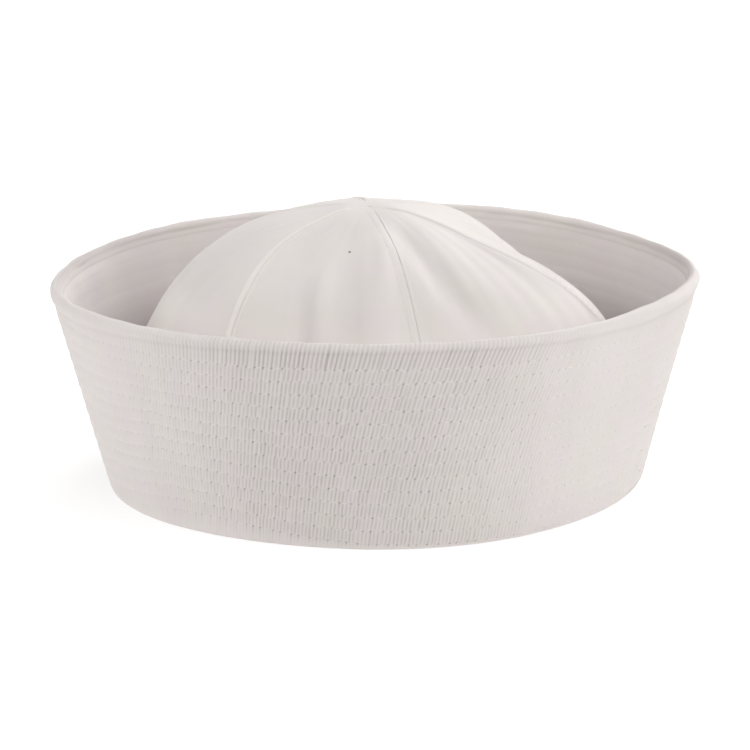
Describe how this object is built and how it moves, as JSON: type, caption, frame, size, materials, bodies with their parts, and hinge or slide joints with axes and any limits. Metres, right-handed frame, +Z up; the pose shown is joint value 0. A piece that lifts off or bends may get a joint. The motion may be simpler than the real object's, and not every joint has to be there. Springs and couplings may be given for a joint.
{
  "type": "sailor cap",
  "caption": "White cotton sailor cap with a low gored crown inside a tall, stiff, upturned brim sewn in close rows of stitching",
  "frame": {"origin": "on the floor, in the middle of the cap's foot, which is also the bottom centre of its box", "axes": "+Z up, the front of the cap faces -Y, +X is the longer way across the brim"},
  "size_m": [0.2371, 0.2064, 0.102],
  "materials": {
    "brim_twill": "ribbed cotton twill, matte",
    "inner_twill": "plain side of cotton twill, matte",
    "crown_twill": "soft cotton twill, matte",
    "seam_twill": "felled cotton seam, matte"
  },
  "bodies": {
    "root": {"brim_outer": "brim_twill", "brim_inner": "inner_twill", "crown_gore_1": "crown_twill", "crown_gore_2": "crown_twill", "crown_gore_3": "crown_twill", "crown_gore_4": "crown_twill", "crown_gore_5": "crown_twill", "crown_gore_6": "crown_twill", "crown_seam_1": "seam_twill", "crown_seam_2": "seam_twill", "crown_seam_3": "seam_twill", "crown_seam_4": "seam_twill", "crown_seam_5": "seam_twill", "crown_seam_6": "seam_twill"}
  },
  "joints": []
}
